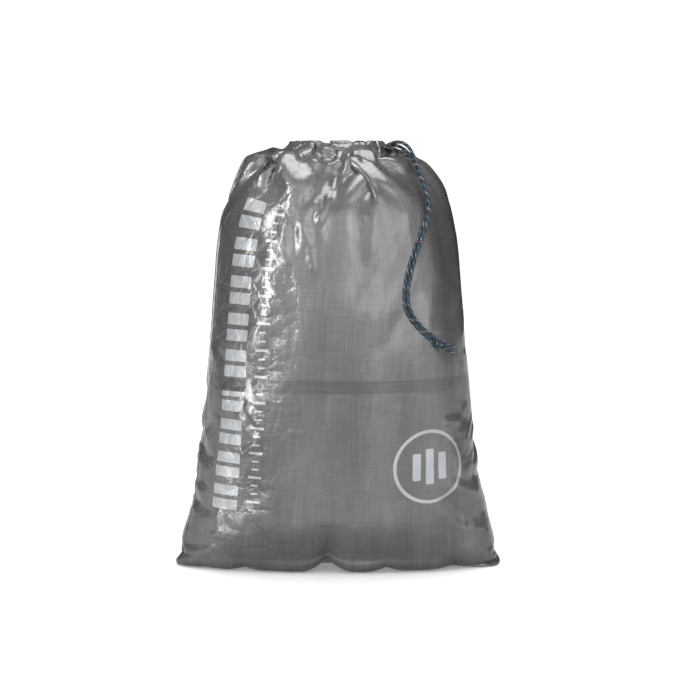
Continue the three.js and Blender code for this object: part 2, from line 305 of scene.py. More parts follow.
# Heights where the front panel is drawn smooth, its spare width wrapped round the right-hand side
DRAWN_SMOOTH = ([50 * MM, 110 * MM, 345 * MM, 388 * MM], [0, 0.9, 0.9, 0])
SEAM_FORWARD = 0.016  # share of the way round that the left seam stands in front of the left edge
CROWN_BUMPS = 1.1 * MM
SEAM_SHIFT = math.radians(34)  # the left seam is drawn round to the front by the gathers
# Tucks that take up the spare width under the gathers. On each half: share of the width from its left
# seam, how much of the spare cloth it takes, and how far down from the mouth it runs, in millimetres.
FRONT_TUCKS = [
    (0.10, 0.6, 46), (0.215, 0.5, 26), (0.322, 1.5, 30), (0.420, 1.7, 56), (0.545, 0.7, 40),
    (0.668, 0.7, 34), (0.790, 1.3, 26), (0.915, 0.9, 60),
]
BACK_TUCKS = [
    (0.07, 0.8, 52), (0.17, 1.0, 34), (0.28, 1.4, 60), (0.39, 0.8, 30), (0.50, 1.5, 50),
    (0.62, 0.9, 34), (0.73, 1.3, 64), (0.84, 0.8, 36), (0.94, 1.0, 44),
]
TUCKED = 0.85  # of the spare width that the tucks take, where they run
FINE_PLEATS = 46


def hermite(x, values, at):
    """Smooth curve through values at x, read at other places"""
    slope = np.gradient(values, x, axis=0)
    k = np.clip(np.searchsorted(x, at, "right") - 1, 0, len(x) - 2)
    width = (x[k + 1] - x[k])[:, None]
    f = ((at - x[k]) / (x[k + 1] - x[k]))[:, None]
    return (
        (2 * f**3 - 3 * f**2 + 1) * values[k] + (f**3 - 2 * f**2 + f) * width * slope[k]
        + (3 * f**2 - 2 * f**3) * values[k + 1] + (f**3 - f**2) * width * slope[k + 1]
    )


def profile_rows():
    """Height, half width and half depth at every row of cloth, and the row length"""
    rows = np.array(PROFILE) * MM
    run = np.concatenate([[0], np.cumsum(np.hypot(np.diff(rows[:, 2]), np.diff(rows[:, 0])))])
    count = round(run[-1] * FULLNESS / CELL) + 1
    smooth = hermite(run, rows, np.linspace(0, run[-1], count))
    smooth[:, 0] = np.maximum(smooth[:, 0], 0.0006)
    return smooth


ROWS = profile_rows()
CROWN = len(ROWS) - 1
HEM_ROWS = round(HEM_DEPTH / CELL)
STITCH_ROW = CROWN - HEM_ROWS
ALL_ROWS = len(ROWS) + HEM_ROWS


def section_point(half_width, half_depth, angle):
    """Point of a rounded-box section at an angle from the right-hand seam"""
    power = 2 / SECTION_POWER
    c, s = np.cos(angle), np.sin(angle)
    return np.stack([half_width * np.sign(c) * np.abs(c) ** power,
                     half_depth * np.sign(s) * np.abs(s) ** power], -1)


def even_angles(half_width, half_depth, shares):
    """Angles that cut the section's perimeter into the given shares, from the left seam round"""
    dense = np.linspace(-np.pi, np.pi, 1441)
    points = section_point(half_width, half_depth, dense)
    run = np.concatenate([[0], np.cumsum(np.hypot(*np.diff(points, axis=0).T))])
    turns = np.floor(shares)
    return np.interp((shares - turns) * run[-1], run, dense) + 2 * np.pi * turns, run[-1]


def gathered_angles(shares):
    """Angles round the mouth: the left seam is drawn forwards, and the exit is left flat"""
    marks = [0, 0.5 - EXIT_SHARE, 0.5, 0.5 + EXIT_SHARE, 1]
    angles = [-np.pi + SEAM_SHIFT, -EXIT_ANGLE, 0, EXIT_ANGLE, np.pi + SEAM_SHIFT]
    return np.interp(shares, marks, angles)


def tuck_widths(hidden, below):
    """Share of the way round that each tuck takes at one row, with each tuck's middle"""
    tucks = [(share / 2, *rest) for share, *rest in FRONT_TUCKS]
    tucks += [(0.5 + share / 2, *rest) for share, *rest in BACK_TUCKS]
    middles, weights, reaches = np.array(tucks).T
    active = weights * np.clip(1 - below / (reaches * MM), 0, 1) ** 0.7
    under_hem = np.clip(below / (14 * MM), 0.12, 1)
    fade = np.clip(active.sum() / (0.25 * weights.sum()), 0, 1)
    return middles, hidden * TUCKED * fade * under_hem * active / max(active.sum(), 1e-6)


def fine_wave(shares, random):
    """Narrow pleats of uneven width, from -1 to 1, and each one's share of the way round"""
    widths = random.uniform(0.6, 1.5, FINE_PLEATS)
    widths /= widths.sum()
    edges = np.concatenate([[0], np.cumsum(widths)])
    phase = np.interp(shares, edges, np.arange(FINE_PLEATS + 1))
    width = widths[np.minimum(phase.astype(int), FINE_PLEATS - 1)]
    return 1 - 4 * np.abs(phase % 1 - 0.5), width


def cut_width(run):
    """Width of one half's flat cut at a distance up from the bottom seam"""
    left = np.clip(1 - run / CORNER_HEIGHT, 0, 1)
    return FLAT_WIDTH - 2 * CORNER_INSET * left**2


def cloth_outward(points):
    """Unit normals of the tube of cloth"""
    around = np.roll(points, -1, 0) - np.roll(points, 1, 0)
    upward = np.empty_like(points)
    upward[:, 1:-1] = points[:, 2:] - points[:, :-2]
    upward[:, 0] = points[:, 1] - points[:, 0]
    upward[:, -1] = points[:, -1] - points[:, -2]
    outward = np.cross(around, upward)
    return outward / (np.linalg.norm(outward, axis=-1, keepdims=True) + 1e-12)


def starting_cloth(random):
    """The cloth laid on the stuffed shape, with its spare width in tucks and pleats"""
    shares = np.arange(COLUMNS) / COLUMNS
    cloth = np.zeros((COLUMNS, ALL_ROWS, 3))
    inset = np.zeros((COLUMNS, len(ROWS)))
    spare = np.ones((COLUMNS, len(ROWS)))
    below = ROWS[-1, 0] - ROWS[:, 0]
    smooth_front = np.interp(ROWS[:, 0], *DRAWN_SMOOTH)
    gather = np.clip((ROWS[:, 0] - SHOULDER) / (ROWS[-1, 0] - SHOULDER), 0, 1) ** 2
    for row, (z, half_width, half_depth) in enumerate(ROWS):
        perimeter = even_angles(half_width, max(half_depth, 1e-4), shares)[1]
        hidden = max(1 - perimeter / (2 * FLAT_WIDTH), 0)
        middles, widths = tuck_widths(hidden, below[row])
        inside = widths[None] / 2 - np.abs(shares[:, None] - middles[None])
        inset[:, row] = np.clip(inside.max(1), 0, 0.026) * 2 * FLAT_WIDTH
        seen = np.where(inside.max(1) > 0, 0.1, 1.0)
        visible = np.concatenate([[0], np.cumsum((seen + np.roll(seen, -1)) / 2)])
        seam = visible[HALF]
        visible = np.where(visible < seam, visible / seam / 2,
                           0.5 + (visible - seam) / (visible[-1] - seam) / 2)[:-1]
        front = 0.5 + (FLAT_WIDTH / perimeter - 0.5) * smooth_front[row]
        visible = np.where(visible < 0.5, visible * 2 * front, 1 - (1 - visible) * 2 * (1 - front))
        turned = visible + SEAM_FORWARD * smooth_front[row]
        angles = even_angles(half_width, max(half_depth, 1e-4), turned)[0]
        angles = angles + (gathered_angles(visible) - angles) * gather[row]
        cloth[:, row, :2] = section_point(half_width, half_depth, angles)
        cloth[:, row, 2] = z
        share_seen = np.where(np.arange(COLUMNS) < HALF, front, 1 - front)
        spare[:, row] = FLAT_WIDTH / perimeter / share_seen / (1 + widths.sum() * 1.6)
    outward = cloth_outward(cloth[:, :len(ROWS)])
    outward[..., 2] *= 0.3
    pleats, pleat_width = fine_wave(shares, random)
    left_over = np.sqrt(np.maximum(spare ** 2 - 1, 0))
    fine = np.interp(below, [0, 10 * MM, 30 * MM, 90 * MM], [0.8, 0.6, 0.3, 0])
    reach = left_over * pleat_width[:, None] * 2 * FLAT_WIDTH / np.maximum(spare, 1) / 4
    fine = np.where((np.arange(COLUMNS) < HALF)[:, None], fine[None], np.maximum(fine, 0.4)[None])
    offset = reach * pleats[:, None] * fine - inset
    cloth[:, :len(ROWS)] += outward * offset[..., None]
    inward = -outward[:, CROWN, :2]
    inward /= np.linalg.norm(inward, axis=-1, keepdims=True)
    bumps = sum(np.sin(2 * np.pi * count * shares + random.uniform(0, 7)) for count in (11, 17, 26)) / 2
    cloth[:, :len(ROWS), 2] += CROWN_BUMPS * bumps[:, None] * gather[None]
    for k in range(HEM_ROWS):
        row = CROWN + 1 + k
        cloth[:, row, :2] = cloth[:, CROWN, :2] + inward * TURNED_IN * min(1, (k + 1) / 3)
        cloth[:, row, 2] = cloth[:, CROWN, 2] - CELL * (k + 0.5)
    return cloth


def pull_links(cloth, first, second, rest, when_long, when_short):
    """Move both ends of every link towards its rest length"""
    a, b = cloth[first], cloth[second]
    gap = b - a
    length = np.sqrt(np.einsum("ijk,ijk->ij", gap, gap)) + 1e-9
    error = (length - rest) / length
    error *= np.where(error > 0, when_long, when_short) * 0.5
    gap *= error[..., None]
    cloth[first] = a + gap
    cloth[second] = b - gap


def cloth_links():
    """Links along, across and aslant, in groups where no point is used twice, and then bends"""
    everything = slice(None)
    columns = np.arange(COLUMNS)
    run = np.arange(ALL_ROWS) * CELL
    width = cut_width(run)
    place_across = (columns % HALF) / HALF - 0.5
    stretches, bends = [], []

    def upright(step):
        return np.sqrt((place_across[:, None] * (width[step:] - width[:-step])) ** 2 + (CELL * step) ** 2)

    for odd in (0, 1):
        a = columns[odd::2]
        stretches.append(((a, everything), ((a + 1) % COLUMNS, everything), width[None] / HALF, 1.0, 1.0))
    rest = upright(1)
    for odd in (0, 1):
        low = np.arange(odd, ALL_ROWS - 1, 2)
        stretches.append(((everything, low), (everything, low + 1), rest[:, low], 1.0, 1.0))
    middle = (place_across + 0.5 / HALF)[:, None]
    mean_width = (width[1:] + width[:-1]) / 2 / HALF
    change = middle * (width[1:] - width[:-1])
    for odd in (0, 1):
        a = columns[odd::2]
        b = (a + 1) % COLUMNS
        rising = np.sqrt((mean_width + change[a]) ** 2 + CELL**2)
        falling = np.sqrt((mean_width - change[a]) ** 2 + CELL**2)
        low, high = slice(0, ALL_ROWS - 1), slice(1, ALL_ROWS)
        stretches.append(((a, low), (b, high), rising, 0.6, 0.6))
        stretches.append(((a, high), (b, low), falling, 0.6, 0.6))
    for step, stiffness in ((2, 0.35), (5, 0.25), (10, 0.12)):
        for start in range(2 * step):
            a = columns[columns % (2 * step) == start]
            rest = width[None] / HALF * step
            bends.append(((a, everything), ((a + step) % COLUMNS, everything), rest, 0.0, stiffness))
        tall = upright(step)
        rows = np.arange(ALL_ROWS - step)
        for odd in (0, 1):
            low = rows[(rows // step) % 2 == odd]
            bends.append(((everything, low), (everything, low + step), tall[:, low], 0.0, stiffness))
    return stretches, bends


SWELLING = 2e-6  # how far the stuffing and gravity move the cloth at each step
GRAVITY = 3e-6
DAMPING = 0.93
HIGHEST = 405 * MM
BASE_ROWS = round(42 * MM / CELL)  # rows that lie under the stuffing
BASE_LIFT = 9 * MM  # the most they rise, away from the corners
FRONT_SLACK = 2.5 * MM  # how far the cloth may sink into the stuffing
BACK_SLACK = 8 * MM
FACE_SINK = ([330 * MM, 384 * MM], [0, 14 * MM])  # and how much further, from these heights up
HEM_CORD_ROOM = 2.4 * MM  # from the middle of the cord in the hem to the cloth round it


class Bounds:
    """Keeps the cloth between the stuffing inside it and a slack limit outside it"""

    def __init__(self):
        rows = ROWS[ROWS[:, 0].argmin():]
        rising = np.concatenate([[True], np.diff(rows[:, 0]) > 1e-6])
        self.z, self.half_width, self.half_depth = rows[rising].T

    def measure(self, points, side, face):
        """Size of the section through each point, 1 on the surface, with its gradient"""
        z = points[..., 2]
        wide = np.interp(z, self.z, self.half_width)
        deep = np.interp(z, self.z, self.half_depth)
        wide, deep = wide + side, deep + face
        x = np.abs(points[..., 0]) / wide
        y = np.abs(points[..., 1]) / deep
        n = SECTION_POWER
        total = x**n + y**n + 1e-9
        size = total ** (1 / n)
        share = total ** (1 / n - 1)
        slope_x = share * x ** (n - 1) / wide * np.sign(points[..., 0])
        slope_y = share * y ** (n - 1) / deep * np.sign(points[..., 1])
        return size, slope_x, slope_y

    def move(self, points, size, slope_x, slope_y, where, most):
        steep = slope_x**2 + slope_y**2 + 1e-9
        amount = np.where(where, (1 - size) / steep, 0)
        limit = most / np.sqrt(steep)
        amount = np.clip(amount, -limit, limit)
        points[..., 0] += amount * slope_x
        points[..., 1] += amount * slope_y

    def keep(self, points, lumps):
        z = points[..., 2]
        slack = np.where(points[..., 1] < 0, FRONT_SLACK, BACK_SLACK)
        face = -np.interp(z, *FACE_SINK) - slack
        size, slope_x, slope_y = self.measure(points, -1.5 * MM + lumps, face + lumps)
        self.move(points, size, slope_x, slope_y, (size < 1) & (z < 0.386) & (z > 4 * MM), 2 * MM)
        size, slope_x, slope_y = self.measure(points, 1.2 * MM, 2.6 * MM)
        self.move(points, size, slope_x, slope_y, (size > 1) & (z > 12 * MM), 1 * MM)


def keep_off_hem_cord(points):
    """Push the tunnel's cloth off the cord that runs inside it"""
    near = points[:, STITCH_ROW:]
    n = SECTION_POWER
    x, y = near[..., 0] / HEM_RING[0], near[..., 1] / HEM_RING[1]
    size = (np.abs(x) ** n + np.abs(y) ** n) ** (1 / n)
    radius = np.hypot(near[..., 0], near[..., 1])
    away = radius - radius / size
    up = near[..., 2] - HEM_CORD_HEIGHT
    distance = np.hypot(away, up) + 1e-9
    push = np.maximum(HEM_CORD_ROOM - distance, 0) / distance * 0.5
    near[..., 0] += near[..., 0] / radius * away * push
    near[..., 1] += near[..., 1] / radius * away * push
    near[..., 2] += up * push


def settle_cloth(steps):
    """Simulate the cloth: links pulled to length, stuffing, gravity, seams and the gathered hem"""
    random = np.random.default_rng(7)
    start = starting_cloth(random).astype(np.float32)
    cloth = start + random.normal(0, 0.3 * MM, start.shape).astype(np.float32)
    before = cloth.copy()
    stretches, bends = cloth_links()
    bounds = Bounds()
    u, v = np.arange(COLUMNS) / COLUMNS, np.arange(ALL_ROWS) / ALL_ROWS
    lumps = np.zeros((COLUMNS, ALL_ROWS), np.float32)
    for _ in range(10):
        wave_u, wave_v = random.integers(1, 7), random.uniform(0.5, 6)
        phase_u, phase_v = random.uniform(0, 2 * np.pi, 2)
        lumps += 0.9 * MM * np.outer(np.sin(2 * np.pi * wave_u * u + phase_u),
                                     np.sin(2 * np.pi * wave_v * v + phase_v))
    from_seam = np.abs((np.arange(COLUMNS) + HALF // 2) % HALF - HALF // 2) * CELL
    base_cap = (BASE_LIFT + 2.2 * np.clip(36 * MM - from_seam, 0, None)).astype(np.float32)
    held = start[:, CROWN].copy()
    swell = np.clip((CROWN + 6 - np.arange(ALL_ROWS)) / 20, 0, 1)[None, :, None].astype(np.float32)
    for step in range(steps):
        drift = (cloth - before) * DAMPING
        before = cloth.copy()
        cloth += drift + cloth_outward(cloth).astype(np.float32) * SWELLING * swell
        cloth[..., 2] -= GRAVITY
        for link in stretches:
            pull_links(cloth, *link)
        if step % 2 == 0:
            for link in bends:
                pull_links(cloth, *link)
        for link in stretches:
            pull_links(cloth, *link)
        join_bottom(cloth)
        sew_hem(cloth)
        cloth[:, CROWN] += (held - cloth[:, CROWN]) * 0.5
        bounds.keep(cloth[:, BASE_ROWS:], lumps[:, BASE_ROWS:])
        np.minimum(cloth[:, :BASE_ROWS, 2], base_cap[:, None], out=cloth[:, :BASE_ROWS, 2])
        keep_off_hem_cord(cloth)
        np.clip(cloth[..., 2], 0.6 * MM, HIGHEST, out=cloth[..., 2])
    return cloth


def join_bottom(cloth):
    """The bottom seam: each front column meets the back column behind it"""
    middle = (cloth[1:HALF, 0] + cloth[:HALF:-1, 0]) / 2
    cloth[1:HALF, 0] = middle
    cloth[:HALF:-1, 0] = middle


def sew_hem(cloth):
    """The hem's stitches hold its folded edge a millimetre from the panel"""
    gap = cloth[:, -1] - cloth[:, STITCH_ROW]
    length = np.linalg.norm(gap, axis=-1, keepdims=True) + 1e-9
    half = gap * (length - 1 * MM) / length * 0.5
    cloth[:, STITCH_ROW] += half
    cloth[:, -1] -= half


# ------------------------------------------------------------------------------ crumple
CRUMPLE = ((25 * MM, 0.75 * MM, 3), (13 * MM, 0.36 * MM, 5))  # facet size, height and seed
# Ridges (above 0) and folds (below 0) pressed into the front, in millimetres: from x, z and to x, z as
# seen from the front, how far they stand out, and how wide they are on each side
CREASES = [
    (-18, 349, -16, 331, 1.6, 5), (-16, 331, -2, 366, 1.8, 5), (-29, 337, -18, 349, 1.3, 6),
    (-45, 335, -51, 309, 1.8, 9), (-51, 309, -45, 290, 1.4, 7), (-34, 335, -25, 309, 2.0, 9),
    (-25, 309, -22, 287, 1.3, 6), (-39, 328, -39, 300, -1.6, 6), (-60, 318, -66, 274, 1.2, 15),
    (-66, 274, -58, 246, 1.0, 13), (-58, 268, -47, 254, 1.0, 6), (-70, 246, -73, 210, 1.2, 14),
    (-94, 157, -72, 128, 1.7, 6), (-72, 128, -91, 113, 1.6, 6), (-85, 161, -58, 128, 1.5, 6),
    (-82, 146, -74, 134, -1.4, 6), (-110, 63, -113, 49, 1.5, 6), (-113, 49, -109, 38, 1.3, 6),
    (-109, 38, -119, 33, 1.3, 6), (-119, 33, -117, 22, 1.2, 6), (-117, 22, -138, 11, 1.5, 7),
    (-36, 236, -30, 218, 0.9, 6), (97, 144, 113, 144, 1.4, 6), (99, 75, 121, 49, -2.4, 10),
    (121, 49, 137, 50, -1.8, 9), (104, 86, 134, 72, 1.5, 8), (118, 138, 124, 118, 1.4, 8),
    (-132, 124, -122, 106, -2.2, 9), (-142, 84, -124, 72, 1.8, 9), (-138, 68, -120, 57, -1.8, 8),
    (142, 98, 126, 88, -2.0, 8), (34, 358, 30, 298, 1.2, 9), (62, 344, 68, 306, 1.0, 9),
    (86, 268, 84, 220, 1.2, 9), (47, 256, 42, 220, 0.9, 8),
]
# Folds that run into the mouth, in the same form
MOUTH_FOLDS = [
    (4, 399, 0, 377, -6.0, 7), (0, 377, -4, 358, -3.5, 6), (-22, 402, -14, 391, -4.0, 7),
    (-14, 391, -2, 389, -4.5, 7), (-27, 401, -24, 387, 2.6, 5), (-24, 387, -8, 380, 3.0, 6),
    (-8, 380, 4, 391, 2.2, 5), (36, 402, 38, 391, -4.5, 6), (9, 395, 12, 375, 2.2, 7),
    (22, 399, 26, 383, -2.4, 7), (50, 395, 62, 373, 2.0, 12), (-62, 387, -92, 369, -2.4, 8),
    (74, 387, 86, 369, -2.0, 8),
]
# Spare cloth that stands up beside the mouth: x, z, half width, half height and how far it stands out
LEFT_SHOULDER = (-66, 388, 34, 26, 8)
# Notches where the stuffing parts along the front's bottom edge: x, how far in and how far up it is
# drawn, half its width, and how far up its crease runs, in millimetres
NOTCHES = [(-10, 9, 12, 26, 52), (-88, 4, 3, 20, 28), (46, 4, 4, 22, 28), (110, 5, 3, 18, 34)]


# How hard the laminate was creased, across the front and mirrored on the back
WORKED_ACROSS = [-0.1625, -0.12, -0.10, -0.06, -0.035, 0.06, 0.12, 0.1625]
WORKED_AMOUNT = [1.0, 1.1, 1.7, 1.8, 0.5, 0.35, 0.9, 1.1]
FRONT_SIDE = np.where(np.arange(COLUMNS) < HALF, 1, -1)
# Heights, and how much of the sagging folds in the front is drawn out there
IRONED = ([35 * MM, 80 * MM, 350 * MM, 385 * MM], [0, 0.92, 0.92, 0])
FLOOR_GAP = 0.8 * MM
SEAM_RIDGE = 4.5 * MM  # the left seam stands up where it turns in to the mouth


def facets(x, y, size, seed):
    """Random heights joined by flat triangles about this size, closed round the sack"""
    count = round(2 * FLAT_WIDTH / size)
    random = np.random.default_rng(seed)
    warp = random.uniform(0, 2 * np.pi, 4)
    across = x / size + 0.35 * np.sin(y / size * 1.3 + warp[0]) + 0.2 * np.sin(y / size * 2.9 + warp[1])
    up = y / size * 0.8 + 0.35 * np.sin(2 * np.pi * x * 5 / (2 * FLAT_WIDTH) + warp[2])
    heights = random.normal(0, 0.5, (count, 200))
    i, j = np.floor(across).astype(int), np.floor(up).astype(int)
    f, g = across - i, up - j
    lower = f + g < 1
    lean = heights[(i + 1) % count, j % 200], heights[i % count, (j + 1) % 200]
    base = np.where(lower, heights[i % count, j % 200], heights[(i + 1) % count, (j + 1) % 200])
    f, g = np.where(lower, f, 1 - g), np.where(lower, g, 1 - f)
    return base + (lean[0] - base) * f + (lean[1] - base) * g


def crease_height(x, y, start, end, width):
    """1 on the line from start to end, falling straight to 0 at this width away"""
    line = np.subtract(end, start)
    share = np.clip(((x - start[0]) * line[0] + (y - start[1]) * line[1]) / line.dot(line), 0, 1)
    away = np.hypot(x - start[0] - share * line[0], y - start[1] - share * line[1])
    ends = np.clip(4 * share * (1 - share) + 0.35, 0, 1)
    return np.clip(1 - away / width, 0, 1) * ends


def ironed(cloth):
    """The cloth with the sagging folds of its front mostly drawn out, as a stuffed front is"""
    smooth = cloth.copy()
    for _ in range(3):
        for axis, reach in ((0, 7), (1, 3)):
            shifts = range(-reach, reach + 1)
            if axis == 0:
                smooth = sum(np.roll(smooth, shift, 0) for shift in shifts) / len(shifts)
            else:
                rows = [np.clip(np.arange(ALL_ROWS) + shift, 0, ALL_ROWS - 1) for shift in shifts]
                smooth = sum(smooth[:, row] for row in rows) / len(shifts)
    height = np.interp(cloth[..., 2], *IRONED)
    facing = np.clip(-cloth[..., 1] / (30 * MM), 0, 1)
    share = (height * facing)[..., None]
    return cloth + (smooth - cloth) * share


def levelled(cloth):
    """The same surface with its rows moved so that the splice lies level round the sack"""
    rows = np.arange(ALL_ROWS, dtype=float)
    upright = slice(CROWN // 5, CROWN)
    middle = CROWN // 5 + np.argmin(np.abs(cloth[HALF // 2, upright, 2] - SPLICE_HEIGHT))
    result = cloth.copy()
    for column in range(COLUMNS):
        at_splice = np.interp(SPLICE_HEIGHT, cloth[column, upright, 2], rows[upright])
        source = np.interp(rows, [0, middle, STITCH_ROW - 8, ALL_ROWS - 1],
                           [0, at_splice, STITCH_ROW - 8, ALL_ROWS - 1])
        for axis in range(3):
            result[column, :, axis] = np.interp(source, rows, cloth[column, :, axis])
    return result, int(middle)


def crumpled(cloth, flat):
    """The settled cloth with the sharp facets and creases of a stiff laminate pressed into it"""
    around = np.arange(COLUMNS)[:, None] * CELL + np.zeros((1, ALL_ROWS))
    up = np.arange(ALL_ROWS)[None] * CELL + np.zeros((COLUMNS, 1))
    height = sum(tall * facets(around, up, size, seed) for size, tall, seed in CRUMPLE)
    height *= np.interp(flat[..., 0] * FRONT_SIDE[:, None], WORKED_ACROSS, WORKED_AMOUNT)
    in_front = np.clip(-cloth[..., 1] / (12 * MM), 0, 1)
    for x, z, to_x, to_z, tall, width in CREASES + MOUTH_FOLDS:
        start, end = np.array(((x, z), (to_x, to_z))) * MM
        ridge = crease_height(cloth[..., 0], cloth[..., 2], start, end, width * MM)
        height += tall * MM * ridge * in_front
    from_seam = np.minimum(np.arange(COLUMNS), COLUMNS - np.arange(COLUMNS)) * CELL
    rising = np.interp(np.arange(ALL_ROWS) * CELL, [0.36, 0.43, (STITCH_ROW - 14) * CELL], [0, 1, 1])
    height += SEAM_RIDGE * np.clip(1 - from_seam / (9 * MM), 0, 1)[:, None] * rising[None]
    x, z, half_width, half_height, tall = np.array(LEFT_SHOULDER) * MM
    near = np.clip(1 - np.abs(cloth[..., 0] - x) / half_width, 0, 1)
    near = near * np.clip(1 - np.abs(cloth[..., 2] - z) / half_height, 0, 1)
    height += tall * near * (2 - near)
    calm = np.interp(np.arange(ALL_ROWS) * CELL, [0, 0.012, (STITCH_ROW - 4) * CELL, STITCH_ROW * CELL],
                     [0, 1, 1, 0])
    cloth = notched(cloth + cloth_outward(cloth) * (height * calm[None])[..., None])
    cloth[..., 2] = np.maximum(cloth[..., 2], FLOOR_GAP)
    return cloth


def notched(cloth):
    """Draw the front's bottom edge in and up at each notch, with a crease running up from it"""
    forward = np.clip(-cloth[..., 1] / (36 * MM), 0, 1)
    for notch in NOTCHES:
        x, inward, upward, half_width, reach = np.array(notch) * MM
        aside = np.clip(1 - np.abs(cloth[..., 0] - x) / half_width, 0, 1) ** 2
        low = np.clip(1 - cloth[..., 2] / reach, 0, 1)
        cloth[..., 1] += inward * aside * low * forward
        cloth[..., 2] += upward * aside * forward * low**2
    return cloth


def flat_pattern():
    """Where each point lies on its half's flat cut: metres from the middle, and up"""
    run = np.arange(ALL_ROWS) * CELL
    across = ((np.arange(COLUMNS) % HALF) / HALF - 0.5)[:, None] * cut_width(run)[None]
    return np.stack([across, np.broadcast_to(run[None], across.shape)], -1)


SIMULATED_STEPS = 260
FLAT = flat_pattern()
SETTLED, SPLICE_ROW = levelled(ironed(settle_cloth(SIMULATED_STEPS).astype(float)))
CLOTH = crumpled(SETTLED, FLAT)
OUTWARD = cloth_outward(CLOTH)

# ------------------------------------------------------------------------------ cut pieces
FABRIC = 0.3 * MM
TAPE = 0.25 * MM
SEAM_CELLS = round(SEAM_WIDTH / 2 / CELL)
EXIT_CELLS = round(EXIT_SHARE * 2 * FLAT_WIDTH / CELL)
BACK_PATTERN_SHIFT = 1.0  # keeps the back's flat positions apart from the printed front's


def cut(name, columns, rows, inner=-FABRIC / 2, outer=FABRIC / 2):
    """A closed piece of the cloth between two columns and two rows, both included"""
    which = np.arange(columns[0], columns[1] + 1)
    on_back = columns[0] >= HALF
    flat = FLAT[which % COLUMNS][:, rows[0]:rows[1] + 1].copy()
    end_width = cut_width(np.arange(rows[0], rows[1] + 1) * CELL) / 2
    if columns[1] % HALF == 0:
        flat[-1, :, 0] = end_width
    if on_back:
        flat[..., 0] += BACK_PATTERN_SHIFT
    points = CLOTH[which % COLUMNS][:, rows[0]:rows[1] + 1]
    outward = OUTWARD[which % COLUMNS][:, rows[0]:rows[1] + 1]
    return shell(name, points, outward, flat, inner, outer)


def on_cloth(column, row, lift):
    """A point of the cloth at any column and row, lifted off it"""
    i, j = int(math.floor(column)), int(math.floor(row))
    f, g = column - i, row - j
    corners = [(i, j, (1 - f) * (1 - g)), (i + 1, j, f * (1 - g)),
               (i, j + 1, (1 - f) * g), (i + 1, j + 1, f * g)]
    point, outward = np.zeros(3), np.zeros(3)
    for a, b, share in corners:
        point += CLOTH[a % COLUMNS, min(b, ALL_ROWS - 1)] * share
        outward += OUTWARD[a % COLUMNS, min(b, ALL_ROWS - 1)] * share
    return point + outward / np.linalg.norm(outward) * lift


def dress(piece, body, slot, material, *nodes):
    """Put a piece on its body, give it its material, and let it stand for CAD nodes"""
    piece.data.materials.clear()
    piece.data.materials.append(material)
    if body:
        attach(piece, body)
    if nodes:
        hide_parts(*nodes)
    return piece


STITCH_SIDES = 6


def thread_mesh(name, threads, radius):
    """Short threads, each a list of points, as one mesh of closed tubes with pointed ends"""
    points, faces = [], []
    turns = np.arange(STITCH_SIDES) * 2 * np.pi / STITCH_SIDES
    for thread in threads:
        line = np.asarray(thread)
        across, upward = line_frames(line)
        faces += tube_faces(len(line) - 2, STITCH_SIDES, len(points))
        for k, middle in enumerate(line[1:-1], start=1):
            for turn in turns:
                points.append(middle + radius * (across[k] * math.cos(turn) + upward[k] * math.sin(turn)))
        points.extend([line[0], line[-1]])
    mesh = bpy.data.meshes.new(name)
    mesh.from_pydata([tuple(point) for point in points], [], faces)
    return smooth_object(name, mesh)


# ------------------------------------------------------------------------------ materials


PRINT_EDGE = 0.15 * MM  # half the width in which a print's edge fades


